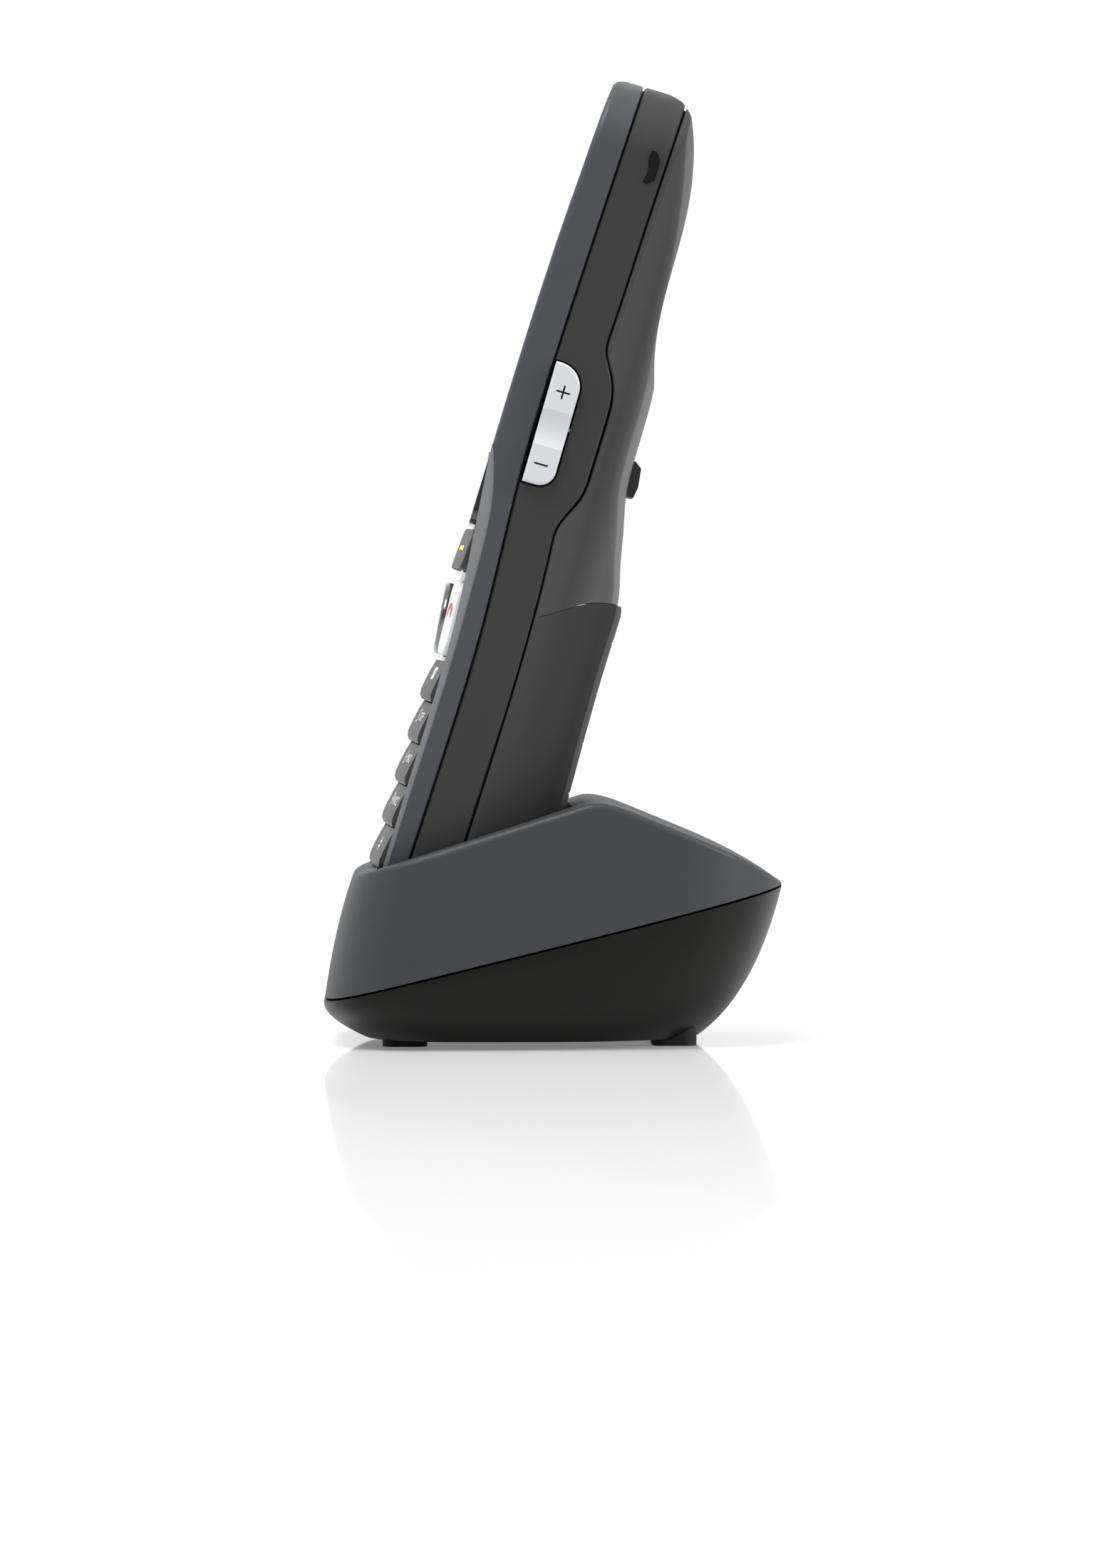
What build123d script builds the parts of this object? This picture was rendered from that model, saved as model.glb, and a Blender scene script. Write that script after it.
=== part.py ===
from build123d import *
from math import cos, pi, radians, sin, tan
import os

# Cordless phone leaning in its charging cradle.
# Millimetres, +Z up, the phone faces -Y, X runs across it. The origin is on the
# floor under the middle of the cradle. The handset has a frame of its own: its
# y runs from front to back and its z runs up its axis from its lower end.

# ---------------------------------------------------------------- handset sizes
tilt = 16.2                 # lean of the handset from upright, degrees
lean = radians(tilt)
dock_y = -29.0              # where the lower end of the handset's frame stands
dock_z = 16.0
body_length = 155.0
body_half_width = 28.0
body_waist = 1.3            # how much narrower the two ends are than the middle
crown_drop = 4.0            # how much lower the top's corners are than its middle
top_corner = 12.0
bottom_corner = 8.0
wall = 1.8                  # housing wall
seam_gap = 0.4              # dark joint between housings
half_gap = seam_gap / 2
seal_inset = 0.7
fit_gap = 0.25              # gap round a key, lens or panel
face_edge = 0.9             # rounding of the front edge
seam_edge = 0.35            # bevel along the seams
front_notch = 0.2           # smaller bevel on the front housing's side of its seam
back_edge = 2.2             # rounding where the back meets the flanks

# Side view of the handset: (y, z) along its height.
face_curve = [(-2.9, body_length + 3), (-4.0, body_length - 5), (-4.8, 138), (-5.6, 123), (-6.05, 108),
              (-6.25, 97), (-6.35, 88)]
shoulder_curve = [(-6.35, 88), (-4.6, 82.5), (-3.5, 76.5), (-3.0, 66), (-2.8, 52), (-3.2, 31), (-3.5, -3)]
rail_curve = [(-6.5, 88), (-5.95, 81), (-4.7, 66.5), (-4.1, 56), (-4.1, 31), (-4.3, 12), (-4.4, -3)]
rail_inset = 0.15
front_seam = [(1.8, body_length + 4), (0.87, 138), (0.28, 123), (-0.5, 98), (-0.5, 86), (0.35, 65), (0.6, 56),
              (0.3, 35), (-0.5, 10), (-0.9, -3)]
back_seam = [(9.6, body_length + 4), (8.7, 140.6), (8.1, 125), (7.6, 112), (7.8, 108.2), (9.1, 105.6),
             (10.6, 102), (11, 97), (10.9, 88.5), (10.3, 83), (9, 80.2), (7.95, 77), (7.95, 74),
             (8.4, 63), (8.5, 50), (8.2, 33), (7.5, -3)]
back_curve = [(11.6, body_length + 4), (12.9, body_length - 7), (14.1, 142), (15.4, 134), (16.4, 124),
              (17, 114), (17.9, 104), (18, 93), (18.5, 85.5), (19.6, 80.5), (20.9, 74), (21.8, 70.4), (22.3, 64),
              (22.3, -3)]
top_curve = [(-12, body_length - 16), (-4.2, body_length - 3.2), (-2.6, body_length - 1.1), (0, body_length),
             (3.9, body_length + 0.1), (6.2, body_length - 0.7), (8.4, body_length - 1.9),
             (11.3, body_length - 5.6), (13, body_length - 9.5), (40, body_length - 60)]
back_crown = 150.0          # the back bulges across the phone
back_crest = 23.2           # furthest back of the ribbed cover
grip_curve = [(back_crest - 1.2, 69.5), (back_crest - 0.35, 68), (back_crest, 64), (back_crest, 38),
              (back_crest, 14), (back_crest - 0.6, 5), (back_crest - 1.4, -3)]
grip_joint = [(-8, 60.5), (8.4, 61.6), (13.3, 64.6), (17, 66.8), (20, 67.6), (40, 68.2)]
grip_gap = 0.1              # joint between cover and back housing
rib_pitch = 8.95
rib_first = 61.3
rib_notch = 0.5
rib_count = 6

# Half cross-section of the back: (x in from the flank's plane, y).
flank_curve = [(0.6, 6.5), (-0.6, 9.2), (-2.4, 12.2), (-3.4, 15.4), (-5.1, 19)]
flank_end = (-9.6, 23.6)
back_bulge = 1.6

# Keys
key_base = -2.95            # inner side of the keys
key_travel = 0.35
row_pitch = 7.4
row_count = 4
first_row_top = 42.9        # upper edge of the 1 2 3 row
key_crest = -6.6            # how far the first row stands out at the middle
crest_step = 0.14           # each row lower stands out a little more
key_valley_rise = 1.15
keypad_crown = 140.0        # the keypad bulges across the phone
key_corner = 1.0
key_edge = 0.2
panel_low = 50.5
panel_front = -5.0
soft_key_height = 7.1
soft_key_middle = 69.8
call_key_width = 10.1
call_key_height = 12.9
call_key_middle = 57.8
ring_height = 12.4
ring_width = 18.0
ring_centre = 57.5
ring_hole_height = 6.6
ring_hole_width = 9.6
ring_edge = 0.7
select_height = 3.1

# Front opening and what fills it
rail_width = 5.0            # frame on each side of the opening
opening_half_width = body_half_width - rail_width
opening_low = first_row_top - row_count * row_pitch - 0.7
opening_high = body_length - 8.5
opening_corner = 2.5
column_pitch = (2 * opening_half_width - 0.4) / 3
lens_low = 74.2
lens_thickness = 1.5

# Volume rocker on the right flank
rocker_low = 83.4
rocker_high = 104.4
rocker_front = 0.05
rocker_back = 5.2
rocker_stand = 1.3          # how far it stands out of the flank
rocker_depth = 4.0
rocker_pin_radius = 0.5
rocker_pin_in = 2.8         # pivot pin's depth below the flank
valley_radius = 7.0         # hollow across the middle of the rocker
valley_depth = 0.75
valley_z = 93.2
sign_length = 2.4           # engraved plus and minus
sign_width = 0.34
sign_depth = 0.25
plus_place = (2.6, 99.6)
minus_place = (2.4, 86.9)

# Covered socket near the top of the right flank: (y, z)
socket_outline = [(5.77, 143.2), (6.44, 143.1), (7.45, 141.9), (7.5, 138.4), (6.35, 137.4), (5.66, 137.4),
                  (5.98, 139.7), (5.5, 141.8)]
socket_depth = 1.4
socket_cover_height = 0.7

# Boards
board_front = 0.2
board_thickness = 1.0
board_inset = 5.4
mat_front = key_base + key_travel
mat_thickness = 1.0
plunger_radius = 2.2
deck_front = 5.7
deck_thickness = 1.2
deck_back = deck_front + deck_thickness
boss_radius = 2.6
boss_x = 19.5
boss_low = 13.0
screw_radius = 0.8

# Battery
cell_diameter = 10.5
cell_length = 44.5
cell_low = 12.0
cell_gap = 1.25
cell_y = deck_back + cell_gap + cell_diameter / 2
contact_strip = 0.4

# Latch on the back
latch_low = 86.3
latch_high = 92.6
latch_half_width = 6.0
latch_back = 19.8
latch_travel = 2.5

# ---------------------------------------------------------------- cradle sizes
dock_taper = 0.8            # how much narrower the handset is where it stands in the pocket
dock_front = -4.6
pocket_gap = 0.6
pocket_floor_gap = 0.7
pocket_wall = 1.5
lip_z = 29.1                # top of the front wall
lip_wall = 3.7              # its thickness there
front_lean = 5.0            # how far the front wall leans out down to the seam
seam_front_z = 7.8
seam_rear_z = 27.2
cradle_rear = 39.5
rim_width = 6.2             # rim beside the handset
side_lean = 2.8
rim_slope = 17.4            # rise of the rim towards the back, degrees
apex_y = 5.2
ridge_round = 1.2           # rounding of the top's edge
rear_fall = 0.75            # steepness where the rear slope ends
rear_slope = [(14.5, 39.6), (22.3, 36.4), (30.5, 32.8), (37.5, 28.8), (44, 24.0)]
cradle_wall = 2.0
cradle_seam_gap = 0.4
base_z = 1.2
base_rear = 25.3
foot_height = 1.2
foot_corner = 2.4
foot_size = (11, 7.6)
foot_spots = [(17, -25.5), (-17, -25.5), (15, 20.5), (-15, 20.5)]
pin_radius = 1.1
pin_spread = 7.0
pin_y = 3.5                 # across the handset's thickness
pin_travel = 0.8
pin_clearance = 0.3         # between a pin's tip and the docked handset
pad_radius = 2.0            # charging pads in the handset's lower end
pad_length = 2.0
spring_wire = 0.3
spring_radius = 1.35
inlet_width = 7.0
inlet_height = 5.4
inlet_mouth_y = 29.6
inlet_depth = 8.0
inlet_shell = 1.2
board_low = 4.4
cradle_board_thickness = 1.2
cradle_board_front = -1.0
cradle_board_rear = 21.0
cradle_board_half = 19.0
inlet_middle_z = board_low + cradle_board_thickness + inlet_shell + inlet_height / 2
floor_top = base_z + cradle_wall
case_screw_spots = [(24, -8), (-24, -8)]
case_screw_length = 6.0
case_boss_radius = 2.8

# ---------------------------------------------------------------- frames
HANDSET = Plane(origin=(0, dock_y, dock_z), x_dir=(1, 0, 0), z_dir=(0, sin(lean), cos(lean)))
AWAY = 60.0                 # well outside the handset


def level(height):
    """Plane across the handset at a height along its axis."""
    return HANDSET.offset(height)


def flank_plane(x=0.0):
    """Plane along the handset's side: its x runs to the back, its y up the axis."""
    origin = HANDSET.from_local_coords((x, 0, 0))
    return Plane(origin=origin, x_dir=HANDSET.y_dir, z_dir=(1, 0, 0))


def face_plane(y=0.0):
    """Plane along the handset's front: its x runs across, its y up the axis."""
    origin = HANDSET.from_local_coords((0, y, 0))
    return Plane(origin=origin, x_dir=(1, 0, 0), z_dir=HANDSET.y_dir * -1)


def shifted(points, step):
    """The same side-view curve moved towards the back."""
    return [(y + step, z) for y, z in points]


def outline_prism(inset=0.0):
    """The handset's front-view outline, run right through its thickness."""
    side = body_half_width - inset
    end = side - body_waist
    top = body_length - inset
    shoulder = top - crown_drop
    with BuildPart() as prism:
        with BuildSketch(face_plane(AWAY)) as outline:
            with BuildLine():
                Line((-end, inset), (end, inset))
                ThreePointArc((end, inset), (side, body_length * 0.55), (end, shoulder))
                ThreePointArc((end, shoulder), (0, top), (-end, shoulder))
                ThreePointArc((-end, shoulder), (-side, body_length * 0.55), (-end, inset))
            make_face()
            fillet(outline.vertices().sort_by(Axis.Y)[:2], bottom_corner - inset)
            fillet(outline.vertices().sort_by(Axis.Y)[-2:], top_corner - inset)
        extrude(amount=2 * AWAY)
    return prism.part


def below_top(drop=0.0):
    """Everything below the handset's rounded top, in the side view."""
    with BuildPart() as prism:
        with BuildSketch(flank_plane(-AWAY)):
            with BuildLine():
                points = [(y, z - drop) for y, z in top_curve]
                Spline(*points)
                Polyline(points[-1], (points[-1][0], -10), (points[0][0], -10), points[0])
            make_face()
        extrude(amount=2 * AWAY)
    return prism.part


def band_prism(front_curves, rear_curve):
    """The space between side-view curves, run right across the handset.

    The front may be several curves that meet at corners.
    """
    with BuildPart() as prism:
        with BuildSketch(flank_plane(-AWAY)):
            with BuildLine():
                for curve in front_curves:
                    Spline(*curve)
                Line(front_curves[-1][-1], rear_curve[-1])
                Spline(*reversed(rear_curve))
                Line(rear_curve[0], front_curves[0][0])
            make_face()
        extrude(amount=2 * AWAY)
    return prism.part


def back_barrel(curve, grow=0.0):
    """Everything in front of a back curve, bulging across the phone."""
    axis_y = back_crest - back_crown
    points = [(y + grow, z) for y, z in curve]
    with BuildPart() as barrel:
        with BuildSketch(flank_plane()):
            with BuildLine():
                Spline(*points)
                Polyline(points[-1], (axis_y, points[-1][1]), (axis_y, points[0][1]), points[0])
            make_face()
        revolve(axis=Axis(HANDSET.from_local_coords((0, axis_y, 0)), HANDSET.z_dir))
    return barrel.part


def grip_side(step, below):
    """Space above or below the curved joint over the battery cover, moved by a step."""
    points = [(y, z + step) for y, z in grip_joint]
    end = -30 if below else body_length + 30
    with BuildPart() as prism:
        with BuildSketch(flank_plane(-AWAY)):
            with BuildLine():
                Spline(*points)
                Polyline(points[-1], (points[-1][0], end), (points[0][0], end), points[0])
            make_face()
        extrude(amount=2 * AWAY)
    return prism.part


def round_box(x_mid, z_mid, width, height, y_front, y_back, corner):
    """Block with rounded corners in the front view."""
    with BuildPart() as block:
        with BuildSketch(face_plane(y_back)):
            with Locations((x_mid, z_mid)):
                RectangleRounded(width, height, corner)
        extrude(amount=y_back - y_front)
    return block.part


def opening_block(inset, y_front, y_back, low=opening_low, high=opening_high):
    """Block that fills the front opening, drawn in by a gap."""
    width = 2 * (opening_half_width - inset)
    height = high - low - 2 * inset
    return round_box(0, (low + high) / 2, width, height, y_front, y_back, opening_corner - inset)


def crowned_ring(points):
    """A side-view outline turned about the keypad's far-off crown axis."""
    crest = min(y for y, z in points)
    axis_point = HANDSET.from_local_coords((0, crest + keypad_crown, 0))
    with BuildPart() as ring:
        with BuildSketch(flank_plane()):
            with BuildLine():
                Polyline(*points, close=True)
            make_face()
        revolve(axis=Axis(axis_point, HANDSET.z_dir))
    return ring.part


def local_cylinder(x, y, z, radius, height, direction=None):
    """Cylinder in the handset's frame, centred on a point, along its axis or a given direction."""
    along = HANDSET.z_dir if direction is None else direction
    place = Plane(origin=HANDSET.from_local_coords((x, y, z)), z_dir=along)
    with BuildPart() as rod:
        with BuildSketch(place):
            Circle(radius)
        extrude(amount=height / 2, both=True)
    return rod.part


def local_box(x_range, y_range, z_range):
    """Plain block between limits in the handset's frame."""
    width, depth = x_range[1] - x_range[0], y_range[1] - y_range[0]
    with BuildPart() as block:
        with BuildSketch(level(z_range[0])):
            with Locations(((x_range[0] + x_range[1]) / 2, (y_range[0] + y_range[1]) / 2)):
                Rectangle(width, depth)
        extrude(amount=z_range[1] - z_range[0])
    return block.part


def section_prism(inset=0.0):
    """The back's waisted cross-section, run along the whole handset."""
    side = [(body_half_width + x - inset, y) for x, y in flank_curve]
    end = (body_half_width + flank_end[0] - inset, flank_end[1] - inset)
    mirrored = [(-x, y) for x, y in side]
    with BuildPart() as prism:
        with BuildSketch(level(-10)):
            with BuildLine():
                Spline(*side, end)
                ThreePointArc(end, (0, end[1] + back_bulge), (-end[0], end[1]))
                Spline(*mirrored, (-end[0], end[1]))
                Line(side[0], mirrored[0])
            make_face()
        extrude(amount=body_length + 20)
    return prism.part


def along(direction):
    """Axis through the handset's origin, to sort faces by."""
    return Axis(HANDSET.origin, direction)


# ---------------------------------------------------------------- handset housings
outer_prism = outline_prism() & below_top()
inner_prism = outline_prism(wall) & below_top(wall)
housing_front = [face_curve, shoulder_curve]
whole_face = face_curve + [(-6.5, 75), (-6.5, 40), (-6.5, -3)]
board_back = board_front + board_thickness
boss_high = body_length - 17
boss_spots = [(boss_x, boss_low), (-boss_x, boss_low), (boss_x - 1.5, boss_high), (1.5 - boss_x, boss_high)]
screw_hole = screw_radius + 0.05
rocker_middle = (rocker_low + rocker_high) / 2
rocker_pin_x = body_half_width - rocker_pin_in
parts = []


def finish_piece(builder, label):
    """Name a finished piece and keep it for writing."""
    builder.part.label = label
    parts.append(builder.part)


with BuildPart() as front_housing:
    add(outline_prism())
    add(band_prism([whole_face], shifted(front_seam, -half_gap)), mode=Mode.INTERSECT)
    fillet(front_housing.faces().sort_by(along(HANDSET.y_dir))[0].outer_wire().edges(), face_edge)
    add(below_top(), mode=Mode.INTERSECT)
    chamfer(front_housing.faces().sort_by(along(HANDSET.y_dir))[-1].outer_wire().edges(), front_notch)
    add(band_prism([[(-AWAY, z) for y, z in shoulder_curve]], shoulder_curve), mode=Mode.SUBTRACT)
    add(inner_prism & band_prism([shifted(curve, wall) for curve in housing_front], shifted(front_seam, 3)),
        mode=Mode.SUBTRACT)
    add(opening_block(0, -12, 4), mode=Mode.SUBTRACT)
finish_piece(front_housing, "front_housing")

# Pale chamfered rail round the lower front, lying on the front housing
with BuildPart() as keypad_surround:
    add(outline_prism(rail_inset))
    add(band_prism([rail_curve], shoulder_curve), mode=Mode.INTERSECT)
    add(opening_block(0, -12, 4), mode=Mode.SUBTRACT)
finish_piece(keypad_surround, "keypad_surround")


def seal(seam_curve, outside, inside, label):
    """Soft ring that fills a seam a little below the surface."""
    with BuildPart() as ring:
        add(outside)
        add(band_prism([shifted(seam_curve, -half_gap)], shifted(seam_curve, half_gap)),
            mode=Mode.INTERSECT)
        add(inside, mode=Mode.SUBTRACT)
    finish_piece(ring, label)


seal_outside = outline_prism(seal_inset) & below_top(seal_inset)
seal(front_seam, seal_outside, inner_prism, "front_seal")
seal(back_seam, seal_outside & section_prism(seal_inset), inner_prism & section_prism(wall), "back_seal")


def rocker_block(gap, x_inner, x_outer):
    """Rocker's outline in the side view, grown by a gap, between two depths."""
    low, high = rocker_low - gap, rocker_high + gap
    front, back = rocker_front - gap, rocker_back + gap
    with BuildPart() as block:
        with BuildSketch(flank_plane(x_inner)) as outline:
            with BuildLine():
                Polyline((front, low), (back, low), (back, high), (front, high), close=True)
            make_face()
            fillet(outline.vertices().sort_by(Axis.Y)[:2].sort_by(Axis.X)[-1], 2.8 + gap)
            fillet(outline.vertices().sort_by(Axis.Y)[-2:].sort_by(Axis.X)[-1], 4.2 + gap)
        extrude(amount=x_outer - x_inner)
    return block.part


def socket_block(inset, depth, height):
    """The covered socket's outline, drawn in, from a depth below the flank."""
    with BuildPart() as block:
        with BuildSketch(flank_plane(body_half_width - depth)) as outline:
            with BuildLine():
                Polyline(*socket_outline, close=True)
            make_face()
            fillet(outline.vertices(), 0.25)
            if inset:
                offset(amount=-inset)
        extrude(amount=height)
    return block.part


with BuildPart() as mid_housing:
    add(outer_prism)
    add(band_prism([shifted(front_seam, half_gap)], shifted(back_seam, -half_gap)),
        mode=Mode.INTERSECT)
    chamfer(mid_housing.faces().sort_by(along(HANDSET.y_dir))[0].outer_wire().edges(), seam_edge)
    chamfer(mid_housing.faces().sort_by(along(HANDSET.y_dir))[-1].outer_wire().edges(), front_notch)
    add(inner_prism, mode=Mode.SUBTRACT)
    add(inner_prism & local_box((-AWAY, AWAY), (deck_front, deck_back), (-5, body_length + 5)))
    for x, z in boss_spots:
        add(local_cylinder(x, (board_back + deck_front) / 2, z, boss_radius,
                           deck_front - board_back, HANDSET.y_dir))
    for x, z in boss_spots:
        add(local_cylinder(x, deck_front, z, screw_hole, 2 * deck_front, HANDSET.y_dir), mode=Mode.SUBTRACT)
    add(rocker_block(fit_gap + 0.1, body_half_width - rocker_depth - 1, AWAY), mode=Mode.SUBTRACT)
    add(local_cylinder(rocker_pin_x, deck_front, rocker_middle, rocker_pin_radius, 4, HANDSET.y_dir),
        mode=Mode.SUBTRACT)
    for x in (-pin_spread, pin_spread):
        add(local_cylinder(x, pin_y, 0, pad_radius + 0.1, 8), mode=Mode.SUBTRACT)
    add(socket_block(0, socket_depth, AWAY), mode=Mode.SUBTRACT)
finish_piece(mid_housing, "mid_housing")

with BuildPart() as socket_cover:
    add(socket_block(0.12, socket_depth, socket_cover_height))
finish_piece(socket_cover, "socket_cover")

with BuildPart() as volume_rocker:
    add(rocker_block(0, body_half_width - rocker_depth, body_half_width + rocker_stand))
    fillet(volume_rocker.faces().sort_by(Axis.X)[-1].edges(), 0.5)
    outer_x = body_half_width + rocker_stand
    add(local_cylinder(outer_x + valley_radius - valley_depth, rocker_back / 2, valley_z, valley_radius, 20,
                       HANDSET.y_dir), mode=Mode.SUBTRACT)
    for y, z, width, height in ((*plus_place, sign_length, sign_width), (*plus_place, sign_width, sign_length),
                                (*minus_place, sign_length, sign_width)):
        add(local_box((outer_x - sign_depth, outer_x + 1), (y - width / 2, y + width / 2),
                      (z - height / 2, z + height / 2)), mode=Mode.SUBTRACT)
    add(local_cylinder(rocker_pin_x, rocker_back, rocker_middle, rocker_pin_radius + 0.05, 8, HANDSET.y_dir),
        mode=Mode.SUBTRACT)
finish_piece(volume_rocker, "volume_rocker")

with BuildPart() as rocker_pin:
    pin_front, pin_back = rocker_back - 3.8, deck_back
    add(local_cylinder(rocker_pin_x, (pin_front + pin_back) / 2, rocker_middle, rocker_pin_radius,
                       pin_back - pin_front, HANDSET.y_dir))
finish_piece(rocker_pin, "rocker_pin")

# Back housing above the ribbed cover
with BuildPart() as back_housing:
    add(section_prism() & back_barrel(back_curve))
    back_face = back_housing.faces().sort_by(along(HANDSET.y_dir))[-1]
    fillet(back_face.outer_wire().edges().sort_by(SortBy.LENGTH)[-2:], back_edge)
    add(outer_prism, mode=Mode.INTERSECT)
    add(band_prism([shifted(back_seam, half_gap)], [(AWAY, z) for y, z in back_seam]), mode=Mode.INTERSECT)
    chamfer(back_housing.faces().sort_by(along(HANDSET.y_dir))[0].outer_wire().edges(), front_notch)
    add(inner_prism & section_prism(wall) & back_barrel(back_curve, -wall), mode=Mode.SUBTRACT)
    add(grip_side(grip_gap / 2, below=False), mode=Mode.INTERSECT)
    add(local_box((-latch_half_width - fit_gap, latch_half_width + fit_gap), (16, 30),
                  (latch_low - fit_gap, latch_high + latch_travel + fit_gap)), mode=Mode.SUBTRACT)
finish_piece(back_housing, "back_housing")

# Ribbed cover: from the back seam to the back, down to the handset's lower end
with BuildPart() as battery_cover:
    add(outer_prism & section_prism() & back_barrel(grip_curve))
    add(band_prism([shifted(back_seam, half_gap)], [(AWAY, z) for y, z in back_seam]), mode=Mode.INTERSECT)
    add(grip_side(-grip_gap / 2, below=True), mode=Mode.INTERSECT)
    add(inner_prism & section_prism(wall) & back_barrel(grip_curve, -wall) & grip_side(-wall, below=True),
        mode=Mode.SUBTRACT)
    for step in range(rib_count):
        rib = rib_first - rib_pitch * step
        with BuildSketch(flank_plane()):
            with BuildLine():
                Polyline((back_crest + 1, rib + 1.6), (back_crest - rib_notch, rib),
                         (back_crest + 1, rib - 0.5), close=True)
            make_face()
        extrude(amount=AWAY, both=True, mode=Mode.SUBTRACT)
finish_piece(battery_cover, "battery_cover")

with BuildPart() as battery_latch:
    with BuildSketch(flank_plane()):
        with BuildLine():
            Polyline((17.2, latch_low), (latch_back - 0.3, latch_low + 0.2), (latch_back, latch_low + 2.2),
                     (latch_back - 0.4, latch_high - 0.9), (18.2, latch_high), (17.2, latch_high), close=True)
        make_face()
    extrude(amount=latch_half_width, both=True)
finish_piece(battery_latch, "battery_latch")

# ---------------------------------------------------------------- front of the handset
with BuildPart() as display_lens:
    add(opening_block(fit_gap, -12, 4, low=lens_low - fit_gap))
    add(band_prism([whole_face], shifted(whole_face, lens_thickness)), mode=Mode.INTERSECT)
finish_piece(display_lens, "display_lens")

with BuildPart() as display_module:
    add(round_box(0, 112, 37, 46, -3.3, -1.5, 1.0))
finish_piece(display_module, "display_module")

call_key_x = column_pitch + 1
with BuildPart() as control_panel:
    add(opening_block(fit_gap, -12, key_base, high=lens_low - fit_gap))
    add(local_box((-AWAY, AWAY), (-20, 20), (panel_low, lens_low)), mode=Mode.INTERSECT)
    add(crowned_ring([(0, panel_low - 1), (panel_front, panel_low - 1), (panel_front - 0.9, 80), (0, 80)]),
        mode=Mode.INTERSECT)
    # holes for the keys that come through it
    with BuildSketch(face_plane()):
        with Locations((0, ring_centre)):
            Ellipse(ring_width / 2 + fit_gap, ring_height / 2 + fit_gap)
    extrude(amount=20, mode=Mode.SUBTRACT)
    for side in (-1, 1):
        add(round_box(side * call_key_x, call_key_middle, call_key_width + 2 * fit_gap,
                      call_key_height + 2 * fit_gap, -20, 0, 3.0), mode=Mode.SUBTRACT)
        add(round_box(side * column_pitch, soft_key_middle, column_pitch - 0.8, soft_key_height + 2 * fit_gap,
                      -20, 0, 2.0), mode=Mode.SUBTRACT)
finish_piece(control_panel, "control_panel")

with BuildPart() as nav_ring:
    with BuildSketch(face_plane(key_base)):
        with Locations((0, ring_centre)):
            Ellipse(ring_width / 2, ring_height / 2)
            Ellipse(ring_hole_width / 2 + fit_gap, ring_hole_height / 2 + fit_gap, mode=Mode.SUBTRACT)
    extrude(amount=6)
    ring_low, ring_high = ring_centre - ring_height / 2, ring_centre + ring_height / 2
    with BuildSketch(flank_plane()):
        with BuildLine():
            Polyline((-14, ring_low - 1), (-6.1, ring_low - 1), (-7.5, ring_high + 1), (-14, ring_high + 1),
                     close=True)
        make_face()
    extrude(amount=AWAY, both=True, mode=Mode.SUBTRACT)
    fillet(nav_ring.faces().sort_by(along(HANDSET.y_dir))[0].edges(), ring_edge)
finish_piece(nav_ring, "nav_ring")

with BuildPart() as select_key:
    with BuildSketch(face_plane(key_base)):
        with Locations((0, ring_centre)):
            Ellipse(ring_hole_width / 2, ring_hole_height / 2)
    extrude(amount=select_height)
    fillet(select_key.faces().sort_by(along(HANDSET.y_dir))[0].edges(), 0.5)
finish_piece(select_key, "select_key")


def panel_key(label, x, z, width, height, front_low, front_high, corner):
    """Crowned key that comes through the control panel."""
    low, high = z - height / 2, z + height / 2
    with BuildPart() as key:
        add(round_box(x, z, width, height, -15, key_base, corner))
        add(crowned_ring([(0, low - 1), (front_low, low - 1), (front_high, high + 1), (0, high + 1)]),
            mode=Mode.INTERSECT)
        fillet(key.faces().sort_by(along(HANDSET.y_dir))[0].edges(), 0.35)
    finish_piece(key, label)


for side, soft_label, call_label in ((-1, "soft_key_left", "talk_key"), (1, "soft_key_right", "end_key")):
    panel_key(soft_label, side * column_pitch, soft_key_middle, column_pitch - 0.8 - 2 * fit_gap,
              soft_key_height, -7.7, -7.0, 1.8)
    panel_key(call_label, side * call_key_x, call_key_middle, call_key_width, call_key_height,
              -6.1, -6.7, 2.8)


def pad_key(label, column, top, height, crest):
    """Key of the keypad: its face swells downwards and drops just above the next row."""
    low = top - height
    width = column_pitch - 2 * fit_gap
    profile = [(0, low), (crest + 0.55, low), (crest + 0.1, low + 0.6), (crest, low + 1.5),
               (crest + 0.25, low + 3.2), (crest + 0.65, low + 5.2), (crest + key_valley_rise, top), (0, top)]
    with BuildPart() as key:
        add(round_box(column * column_pitch, low + height / 2, width, height, -15, key_base, key_corner))
        add(crowned_ring(profile), mode=Mode.INTERSECT)
    finish_piece(key, label)


key_height = row_pitch - fit_gap
for column, name in ((-1, "function_key_left"), (0, "function_key_middle"), (1, "function_key_right")):
    pad_key(name, column, first_row_top + row_pitch, key_height, key_crest + crest_step)
for index, name in enumerate(["1", "2", "3", "4", "5", "6", "7", "8", "9", "star", "0", "hash"]):
    row = index // 3
    pad_key("key_" + name, index % 3 - 1, first_row_top - row * row_pitch, key_height,
            key_crest - crest_step * row)

# ---------------------------------------------------------------- inside the handset
with BuildPart() as keypad_mat:
    mat_back = mat_front + mat_thickness
    add(opening_block(fit_gap, mat_front, mat_back, high=lens_low - fit_gap))
    for row in range(-1, row_count):
        for column in (-1, 0, 1):
            add(local_cylinder(column * column_pitch, (mat_back + board_front) / 2,
                               first_row_top - row * row_pitch - row_pitch / 2, plunger_radius,
                               board_front - mat_back, HANDSET.y_dir))
finish_piece(keypad_mat, "keypad_mat")

with BuildPart() as main_board:
    add(outline_prism(board_inset))
    add(local_box((-AWAY, AWAY), (board_front, board_back), (0, body_length + 5)), mode=Mode.INTERSECT)
    for x, z in boss_spots:
        add(local_cylinder(x, board_front, z, screw_hole, 6, HANDSET.y_dir), mode=Mode.SUBTRACT)
finish_piece(main_board, "main_board")

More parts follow.
